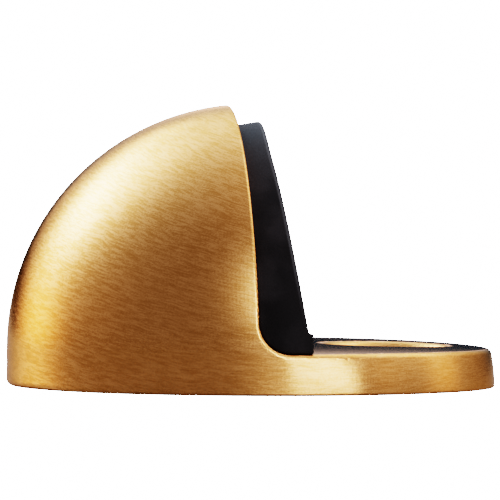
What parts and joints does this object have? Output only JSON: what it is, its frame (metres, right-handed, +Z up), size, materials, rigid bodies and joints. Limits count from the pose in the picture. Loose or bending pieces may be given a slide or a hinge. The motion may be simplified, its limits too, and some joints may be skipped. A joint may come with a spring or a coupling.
{
  "type": "floor door stop",
  "caption": "Half-moon floor door stop: a cast dome cut flat at the front, with a rubber buffer on its face and a thin round fixing plate with a countersunk hole.",
  "frame": {"origin": "centre of the round base, on the floor", "axes": "+X from the dome towards the door and the fixing hole, +Z up, the part is symmetric about the plane Y = 0"},
  "size_m": [0.045, 0.045, 0.0259],
  "materials": {
    "satin_brass": "brushed satin",
    "black_rubber": "smooth moulded, slight sheen",
    "zinc_steel": "bright zinc plated"
  },
  "bodies": {
    "root": {"dome_casting": "satin_brass", "rubber_buffer": "black_rubber", "backing_plate": "zinc_steel", "left_stud": "zinc_steel", "right_stud": "zinc_steel", "left_washer": "zinc_steel", "right_washer": "zinc_steel", "left_lock_washer": "zinc_steel", "right_lock_washer": "zinc_steel", "left_nut": "zinc_steel", "right_nut": "zinc_steel"}
  },
  "joints": []
}
